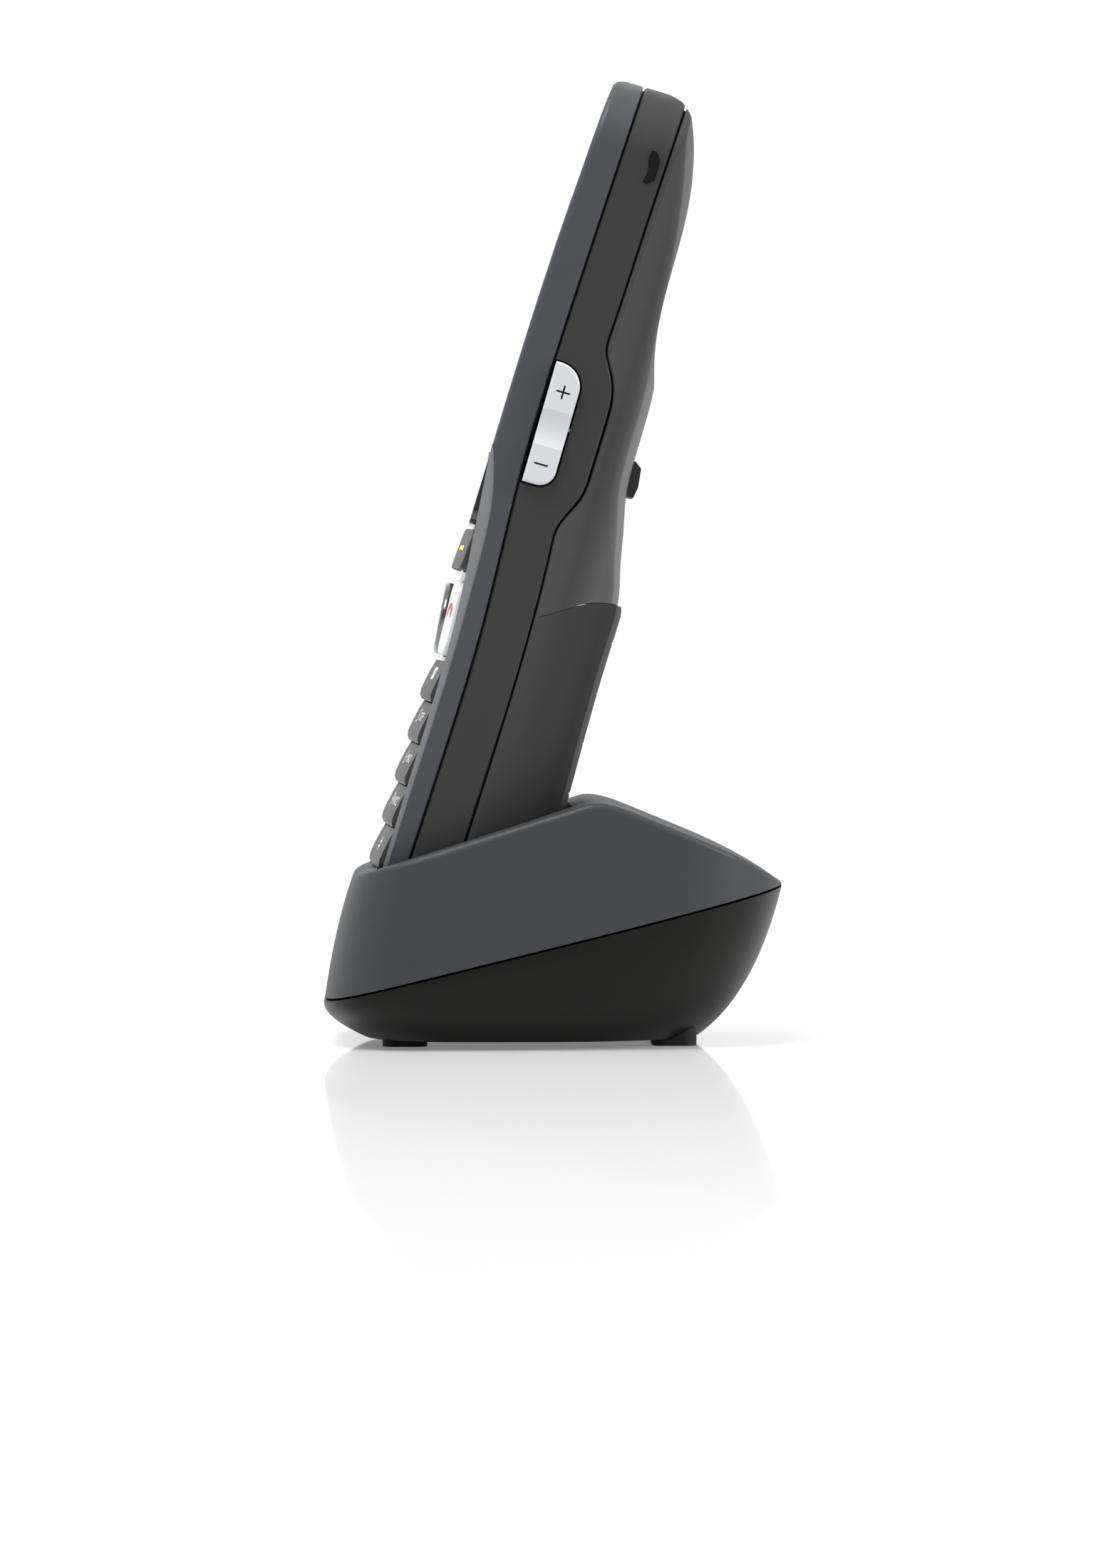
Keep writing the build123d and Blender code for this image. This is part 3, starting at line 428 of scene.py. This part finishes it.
class Dresser:
    """Keeps one material per finish and puts it on CAD nodes and new pieces."""

    def __init__(self) -> None:
        """Start with no material made."""
        self.made: dict[Finish, bpy.types.Material] = {}

    def material(self, finish: Finish) -> bpy.types.Material:
        """Make a finish's material the first time, and keep it.

        Args:
            finish: the finish.

        Returns:
            Its material.
        """
        if finish not in self.made:
            self.made[finish] = finish.value.material()
        return self.made[finish]

    def dress(self, piece: bpy.types.Object, finish: Finish) -> None:
        """Give every slot of a piece one finish.

        Args:
            piece: the mesh object.
            finish: its finish.
        """
        slots = piece.data.materials
        if not slots:
            slots.append(self.material(finish))
        for index in range(len(slots)):
            slots[index] = self.material(finish)


def make_object(name: str, shape: bmesh.types.BMesh) -> bpy.types.Object:
    """Turn a finished shape into an object of the scene.

    Args:
        name: the object's name.
        shape: the shape, which is used up.

    Returns:
        The object.
    """
    mesh = bpy.data.meshes.new(name)
    shape.to_mesh(mesh)
    shape.free()
    made = bpy.data.objects.new(name, mesh)
    bpy.context.scene.collection.objects.link(made)
    return made


# ------------------------------------------------------------------ printed marks
class Facing(Enum):
    """Sides of the handset that marks are printed on, as (across, up, inwards) in its frame."""

    FRONT = (Vector((1, 0, 0)), Vector((0, 0, 1)), Vector((0, 1, 0)))
    FLANK = (Vector((0, 1, 0)), Vector((0, 0, 1)), Vector((-1, 0, 0)))
    BACK = (Vector((-1, 0, 0)), Vector((0, 0, 1)), Vector((0, -1, 0)))


@dataclass
class Printer:
    """Lays flat marks on the handset's surfaces.

    Attributes:
        dresser: gives the marks their finish.
        lean: the handset's frame.
        lift: how far a mark stands off its surface, mm.
        away: distance outside the handset that marks are thrown from, mm.
    """

    dresser: Dresser
    lean: Lean = field(default_factory=Lean)
    lift: float = 0.03
    away: float = 60.0

    def glyphs(self, text: str, height: float) -> bmesh.types.BMesh:
        """Flat letters, centred.

        Args:
            text: what they say.
            height: height of the line, mm.

        Returns:
            The letters as a mesh in their own plane, in mm.
        """
        curve = bpy.data.curves.new("glyphs", "FONT")
        curve.body = text
        curve.size = height
        curve.resolution_u = 3
        curve.align_x, curve.align_y = "CENTER", "CENTER"
        holder = bpy.data.objects.new("glyphs", curve)
        bpy.context.scene.collection.objects.link(holder)
        graph = bpy.context.evaluated_depsgraph_get()
        flat = bpy.data.meshes.new_from_object(holder.evaluated_get(graph))
        bpy.data.objects.remove(holder)
        shape = bmesh.new()
        shape.from_mesh(flat)
        bpy.data.meshes.remove(flat)
        return shape

    def bar(self, width: float, height: float, corner: float = 0.0,
            turn: float = 0.0) -> bmesh.types.BMesh:
        """Flat bar with rounded ends.

        Args:
            width: width, mm.
            height: height, mm.
            corner: corner radius, mm.
            turn: turn about its middle, degrees.

        Returns:
            The bar as a mesh in its own plane, in mm.
        """
        shape = bmesh.new()
        bmesh.ops.create_grid(shape, x_segments=1, y_segments=1, size=0.5)
        bmesh.ops.scale(shape, vec=(width, height, 1), verts=shape.verts)
        if corner:
            bmesh.ops.bevel(shape, geom=shape.verts[:], affect="VERTICES", offset=corner,
                            segments=CORNER_STEPS, profile=0.5, material=-1)
        bmesh.ops.rotate(shape, cent=(0, 0, 0), matrix=Matrix.Rotation(math.radians(turn), 3, "Z"),
                         verts=shape.verts)
        return shape

    def sheet(self, width: float, height: float, steps: int) -> bmesh.types.BMesh:
        """Flat rectangle cut finely enough to follow a curved surface.

        Args:
            width: width, mm.
            height: height, mm.
            steps: how many cells it has each way.

        Returns:
            The rectangle as a mesh in its own plane, in mm.
        """
        shape = bmesh.new()
        bmesh.ops.create_grid(shape, x_segments=steps, y_segments=steps, size=0.5)
        bmesh.ops.scale(shape, vec=(width, height, 1), verts=shape.verts)
        return shape

    def band(self, inner: Vector, outer: Vector, start: float, sweep: float) -> bmesh.types.BMesh:
        """Flat arc between two ellipses.

        Args:
            inner: half width and half height of the inner ellipse, mm.
            outer: the same of the outer one.
            start: angle where it starts, degrees.
            sweep: angle it runs through, degrees.

        Returns:
            The arc as a mesh in its own plane, in mm.
        """
        shape = bmesh.new()
        ends = [shape.verts.new((1, 0, 0)), shape.verts.new((2, 0, 0))]
        edge = shape.edges.new(ends)
        bmesh.ops.rotate(shape, cent=(0, 0, 0), matrix=Matrix.Rotation(math.radians(start), 3, "Z"),
                         verts=shape.verts)
        bmesh.ops.spin(shape, geom=[*ends, edge], cent=(0, 0, 0), axis=(0, 0, 1),
                       angle=math.radians(sweep), steps=CURVE_STEPS, use_merge=sweep >= 360)
        for vert in shape.verts:
            size = inner if vert.co.length < 1.5 else outer
            flat = vert.co.normalized()
            vert.co = (flat.x * size.x, flat.y * size.y, 0)
        return shape

    def lay(self, name: str, shape: bmesh.types.BMesh, host: str, place: tuple[float, float],
            finish: Finish, body: str, facing: Facing = Facing.FRONT) -> bpy.types.Object:
        """Throw a flat mark on to a CAD node and let it ride with a body.

        Args:
            name: the piece's name.
            shape: the mark in its own plane, in mm.
            host: the node it lies on.
            place: where its middle goes, across and up, in the handset's frame, mm.
            finish: its finish.
            body: the body it rides on.
            facing: the side of the handset it lies on.

        Returns:
            The finished piece.
        """
        across, up, inwards = facing.value
        tree = BVHTree.FromObject(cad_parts[host], bpy.context.evaluated_depsgraph_get())
        turn = self.lean.matrix.to_3x3()
        ray = (turn @ inwards).normalized()
        depth = None
        missed = []
        for vert in shape.verts:
            start = (place[0] + vert.co.x) * across + (place[1] + vert.co.y) * up - self.away * inwards
            origin = self.lean.matrix @ start
            spot, _, _, distance = tree.ray_cast(origin, ray)
            if spot is not None:
                depth = distance
                vert.co = spot - ray * self.lift * MM
            else:
                missed.append((vert, origin))
        for vert, origin in missed:
            vert.co = origin + ray * ((depth or self.away * MM) - self.lift * MM)
        shape.normal_update()
        piece = make_object(name, shape)
        self.dresser.dress(piece, finish)
        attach(piece, body)
        return piece


@dataclass
class KeyLegends:
    """Digits, letters and symbols on the keys.

    Attributes:
        printer: lays the marks.
        column: distance between columns of keys, mm.
        rows: height of each row's legends, function row first, mm.
        digit: height of a digit, mm.
        letter: height of the letters, mm.
    """

    printer: Printer
    column: float = 15.2
    rows: tuple[float, ...] = (48.0, 40.2, 32.8, 25.2, 17.6)
    digit: float = 3.6
    letter: float = 2.2

    def dial_keys(self) -> None:
        """A digit and its letters on each dial key."""
        legends = [("key_1", "1", ""), ("key_2", "2", "ABC"), ("key_3", "3", "DEF"), ("key_4", "4", "GHI"),
                   ("key_5", "5", "JKL"), ("key_6", "6", "MNO"), ("key_7", "7", "PQRS"),
                   ("key_8", "8", "TUV"), ("key_9", "9", "WXYZ"), ("key_star", "*", ""),
                   ("key_0", "0", ""), ("key_hash", "#", "")]
        for index, (node, digit, letters) in enumerate(legends):
            middle = (index % 3 - 1) * self.column
            height = self.rows[1 + index // 3]
            aside = 2.6 if letters else 0.0
            self.printer.lay(f"{node}_digit", self.printer.glyphs(digit, self.digit), node,
                             (middle - aside, height), Finish.WHITE_INK, node)
            if letters:
                self.printer.lay(f"{node}_letters", self.printer.glyphs(letters, self.letter), node,
                                 (middle + 1.9, height), Finish.WHITE_INK, node)

    def function_keys(self) -> None:
        """A plain symbol on each function key."""
        height = self.rows[0]
        column = self.column
        self.printer.lay("book_icon", self.printer.bar(2.2, 2.8, 0.3), "function_key_left",
                         (-column, height), Finish.WHITE_INK, "function_key_left")
        self.printer.lay("speaker_icon", self.printer.band(Vector((0.8, 0.8)), Vector((1.3, 1.3)), -60, 120),
                         "function_key_middle", (0, height), Finish.WHITE_INK, "function_key_middle")
        self.printer.lay("message_icon", self.printer.bar(3.4, 2.2, 0.3), "function_key_right",
                         (column, height), Finish.WHITE_INK, "function_key_right")
        self.printer.lay("message_fold", self.printer.bar(2.4, 0.3, 0.0, 25.0), "function_key_right",
                         (column, height), Finish.DARK_INK_AND_SHADE, "function_key_right")

    def call_keys(self, aside: float = 16.2, height: float = 58.2) -> None:
        """Green and red receivers.

        Args:
            aside: distance of the two keys' middles from the middle of the phone, mm.
            height: height of their marks, mm.
        """
        for side, node, finish, start in ((-1, "talk_key", Finish.GREEN_INK, 200),
                                          (1, "end_key", Finish.RED_INK, 20)):
            arc = self.printer.band(Vector((1.9, 1.2)), Vector((2.9, 2.2)), start, 140)
            self.printer.lay(f"{node}_receiver", arc, node, (side * aside, height), finish, node)
            for end in (-1, 1):
                self.printer.lay(f"{node}_cup_{'left' if end < 0 else 'right'}",
                                 self.printer.bar(1.3, 1.7, 0.4, -18.0 * end * side), node,
                                 (side * aside + end * 2.2, height + 0.6 * side), finish, node)

    def soft_keys(self, height: float = 69.9) -> None:
        """Yellow bar on each soft key.

        Args:
            height: height of the bars, mm.
        """
        for side, node in ((-1, "soft_key_left"), (1, "soft_key_right")):
            self.printer.lay(f"{node}_bar", self.printer.bar(5.6, 0.8, 0.35), node,
                             (side * self.column, height), Finish.YELLOW_INK, node)

    def build(self) -> None:
        """Mark every key."""
        self.dial_keys()
        self.function_keys()
        self.call_keys()
        self.soft_keys()
        log.info("legends printed")


@dataclass
class FaceMarks:
    """Marks on the handset away from its keys.

    Attributes:
        printer: lays the marks.
    """

    printer: Printer

    def screen(self) -> None:
        """Visible area of the display."""
        self.printer.lay("screen_area", self.printer.sheet(37.0, 46.0, 24), "display_lens", (0, 112.0),
                         Finish.SCREEN_AREA, "handset")

    def ear_slot(self, height: float = 141.0) -> None:
        """Dark bar painted as the shade inside the slot over the earpiece.

        Args:
            height: its height on the face, mm.
        """
        self.printer.lay("ear_slot", self.printer.bar(12.0, 1.4, 0.65), "display_lens", (0, height),
                         Finish.DARK_INK_AND_SHADE, "handset")

    def speaker_slots(self, height: float = 122.0) -> None:
        """Dark bars painted as the shade inside the slots over the loudspeaker, on the back.

        Args:
            height: height of the middle slot, mm.
        """
        for index in (-1, 0, 1):
            self.printer.lay(f"speaker_slot_{index + 2}", self.printer.bar(14.0, 1.2, 0.55), "back_housing",
                             (0, height + 3.2 * index), Finish.DARK_INK_AND_SHADE, "handset", Facing.BACK)

    def ring_inlay(self, height: float = 57.5) -> None:
        """Dark middle of the plated ring, with four small marks.

        Args:
            height: height of the ring's middle, mm.
        """
        inlay = self.printer.band(Vector((5.6, 4.1)), Vector((8.1, 5.4)), 0, 360)
        self.printer.lay("ring_inlay", inlay, "nav_ring", (0, height), Finish.BLACK_GLOSS, "nav_ring")
        for name, x, z in (("left", -6.8, 0), ("right", 6.8, 0), ("up", 0, 4.75), ("down", 0, -4.75)):
            mark = self.printer.bar(0.7, 0.7, 0.0, 45.0)
            self.printer.lay(f"ring_mark_{name}", mark, "nav_ring", (x, height + z), Finish.WHITE_INK,
                             "nav_ring")

    def rocker_signs(self) -> None:
        """Dark plus and minus, painted as the shade in the rocker's engraving."""
        for name, place, turn in (("plus_bar", (2.6, 99.6), 0), ("plus_stem", (2.6, 99.6), 90),
                                  ("minus_bar", (2.4, 86.9), 0)):
            self.printer.lay(name, self.printer.bar(2.3, 0.28, 0.0, turn), "volume_rocker", place,
                             Finish.DARK_INK_AND_SHADE, "volume_rocker", Facing.FLANK)

    def build(self) -> None:
        """Lay every mark."""
        self.screen()
        self.ear_slot()
        self.speaker_slots()
        self.ring_inlay()
        self.rocker_signs()
        log.info("face marks printed")


@dataclass
class InletContacts:
    """Gold strips in the power socket.

    Attributes:
        dresser: gives their finish.
        count: how many strips.
        strip: width, length and thickness, mm.
        pitch: distance between strips, mm.
        shell: wall of the socket, mm.
        gap: space between a strip's end and the socket's inner wall, mm.
    """

    dresser: Dresser
    count: int = 6
    strip: Vector = field(default_factory=lambda: Vector((0.5, 6.0, 0.15)))
    pitch: float = 1.0
    shell: float = 1.2
    gap: float = 0.2

    def build(self) -> None:
        """Lay the strips under the socket's roof."""
        low, high = (Vector(corner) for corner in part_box("power_socket"))
        top = high.z / MM - self.shell - self.strip.z / 2
        middle = low.y / MM + self.shell + self.strip.y / 2 + self.gap
        shape = bmesh.new()
        for index in range(self.count):
            made = bmesh.ops.create_cube(shape, size=1.0)["verts"]
            bmesh.ops.scale(shape, vec=self.strip * MM, verts=made)
            x = (index - (self.count - 1) / 2) * self.pitch
            bmesh.ops.translate(shape, vec=Vector((x, middle, top)) * MM, verts=made)
        piece = make_object("inlet_contacts", shape)
        self.dresser.dress(piece, Finish.GOLD)
        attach(piece, "cradle")
        log.info("inlet contacts laid")


# ------------------------------------------------------------------ studio
@dataclass
class Studio:
    """White floor and backdrop, soft light and the camera.

    Attributes:
        distance: camera's distance from the middle of the object, m.
        height: camera's height, m.
        aim_height: height of the frame's middle, m.
        aside: how far the camera stands in front of the object's middle plane, m.
        field: height of what the camera sees at the object, m.
        floor_near: where the floor starts to fade into the backdrop, m.
        floor_far: where it has faded, m.
        floor_glow: how far the floor near the object glows already, 0 to 1.
        floor_radius: the floor's radius, m.
        camera_side: brightness of the surroundings on the camera's side.
    """

    distance: float = 1.15
    height: float = 0.070
    aim_height: float = 0.0442
    aside: float = -0.022
    field: float = 0.2716
    floor_near: float = 0.10
    floor_far: float = 0.55
    floor_glow: float = 0.18
    floor_radius: float = 2.6
    camera_side: float = 0.30

    def camera(self) -> None:
        """Set up the camera."""
        data = bpy.data.cameras.new("camera")
        data.sensor_width = 36.0
        data.lens = data.sensor_width * self.distance / self.field
        camera = bpy.data.objects.new("camera", data)
        camera.location = (self.distance, self.aside, self.height)
        aim = Vector((0.0, 0.0003, self.aim_height))
        camera.rotation_euler = (aim - camera.location).to_track_quat("-Z", "Y").to_euler()
        bpy.context.scene.collection.objects.link(camera)
        bpy.context.scene.camera = camera

    def floor(self) -> None:
        """A wide pale floor that fades into the backdrop on every side."""
        mesh = bmesh.new()
        bmesh.ops.create_circle(mesh, cap_ends=True, segments=96, radius=self.floor_radius)
        floor = make_object("floor", mesh)
        shader = Shader("floor_white")
        place = shader.add("ShaderNodeTexCoord", out="Object")
        haze = shader.add("ShaderNodeTexNoise", None, {"Vector": place, "Scale": 9.0})
        reach = shader.add("ShaderNodeVectorMath", {"operation": "LENGTH"}, {0: place}, out="Value")
        far = shader.add("ShaderNodeMapRange", {"interpolation_type": "SMOOTHSTEP"},
                         {"Value": reach, "From Min": self.floor_near, "From Max": self.floor_far,
                          "To Min": self.floor_glow})
        rough = 0.03 + haze * 0.02
        near_white = shader.add("ShaderNodeBsdfPrincipled", None,
                                {"Base Color": (0.90, 0.90, 0.90, 1.0), "Roughness": rough,
                                 "Specular IOR Level": 0.10})
        glow = shader.add("ShaderNodeEmission", None, {"Color": (1.0, 1.0, 1.0, 1.0), "Strength": 1.0})
        surface = shader.add("ShaderNodeMixShader", None, {0: far, 1: near_white, 2: glow})
        floor.data.materials.append(shader.finish(surface))

    def area(self, name: str, place: tuple[float, float, float], aim: tuple[float, float, float],
             size: tuple[float, float], power: float) -> None:
        """Add one soft rectangular lamp.

        Args:
            name: the lamp's name.
            place: where it hangs, m.
            aim: the point it faces, m.
            size: width and height, m.
            power: watts.
        """
        data = bpy.data.lights.new(name, "AREA")
        data.shape = "RECTANGLE"
        data.size, data.size_y = size
        data.energy = power
        lamp = bpy.data.objects.new(name, data)
        lamp.location = place
        lamp.rotation_euler = (Vector(aim) - Vector(place)).to_track_quat("-Z", "Y").to_euler()
        bpy.context.scene.collection.objects.link(lamp)

    def world(self) -> None:
        """White backdrop behind the object, dimmer surroundings on the camera's side."""
        world = bpy.data.worlds.new("studio")
        world.use_nodes = True
        tree = world.node_tree
        back = tree.nodes["Background"]
        place = tree.nodes.new("ShaderNodeTexCoord")
        split = tree.nodes.new("ShaderNodeSeparateXYZ")
        ramp = tree.nodes.new("ShaderNodeValToRGB")
        tree.links.new(place.outputs["Generated"], split.inputs[0])
        tree.links.new(split.outputs["X"], ramp.inputs[0])
        tree.links.new(ramp.outputs["Color"], back.inputs["Color"])
        ramp.color_ramp.elements[0].position = 0.05
        ramp.color_ramp.elements[0].color = (1.0, 1.0, 1.0, 1.0)
        ramp.color_ramp.elements[1].position = 0.75
        ramp.color_ramp.elements[1].color = (*(self.camera_side,) * 3, 1.0)
        back.inputs["Strength"].default_value = 1.0
        bpy.context.scene.world = world

    def build(self) -> None:
        """Make the whole studio."""
        self.floor()
        self.world()
        self.area("key_lamp", (0.35, -0.35, 1.1), (0, 0, 0.08), (0.6, 0.6), 15.0)
        self.area("rear_lamp", (0.25, 1.0, 0.55), (0, 0.02, 0.08), (0.3, 0.6), 8.0)
        self.camera()
        scene = bpy.context.scene
        scene.view_settings.view_transform = "Standard"
        log.info("studio ready")


NODE_FINISHES: dict[str, Finish] = {
    "front_housing": Finish.FRONT_SHELL, "keypad_surround": Finish.SURROUND,
    "front_seal": Finish.SEAL, "back_seal": Finish.SEAL, "mid_housing": Finish.MID_SHELL,
    "socket_cover": Finish.SEAL, "volume_rocker": Finish.SIDE_KEY,
    "back_housing": Finish.BACK_SHELL, "battery_cover": Finish.GRIP,
    "battery_latch": Finish.MID_SHELL, "latch_spring": Finish.STEEL, "display_lens": Finish.LENS,
    "display_module": Finish.INNER, "control_panel": Finish.PANEL, "nav_ring": Finish.DARK_CHROME,
    "select_key": Finish.BLACK_GLOSS, "soft_key_left": Finish.KEYCAP,
    "soft_key_right": Finish.KEYCAP, "talk_key": Finish.PANEL, "end_key": Finish.PANEL,
    "keypad_mat": Finish.SILICONE, "main_board": Finish.BOARD, "housing_screws": Finish.STEEL,
    "shield_can": Finish.STEEL, "earpiece": Finish.INNER, "loudspeaker": Finish.IRON,
    "microphone": Finish.STEEL, "vibration_motor": Finish.STEEL, "antenna": Finish.GOLD,
    "side_key_switch": Finish.INNER, "battery_cells": Finish.CELL,
    "battery_contacts": Finish.GOLD, "charge_pads": Finish.GOLD,
    "upper_shell": Finish.CRADLE_TOP, "lower_shell": Finish.CRADLE_BASE,
    "cradle_board": Finish.BOARD, "power_socket": Finish.INNER, "contact_block": Finish.INNER,
    "contact_pin_left": Finish.GOLD, "contact_pin_right": Finish.GOLD,
    "pin_springs": Finish.STEEL, "ballast_weight": Finish.IRON, "rubber_feet": Finish.FOOT,
    "case_screws": Finish.STEEL, "rocker_pin": Finish.STEEL,
}


def main() -> None:
    """Build the looks in order and report each step."""
    logging.basicConfig(level=logging.INFO)
    dresser = Dresser()
    for name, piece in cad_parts.items():
        finish = NODE_FINISHES.get(name, Finish.KEYCAP)
        dresser.dress(piece, finish)
        log.info("%s dressed in %s", name, finish.value.name)
    printer = Printer(dresser)
    KeyLegends(printer).build()
    FaceMarks(printer).build()
    InletContacts(dresser).build()
    Studio().build()


if __name__ == "__main__":
    main()
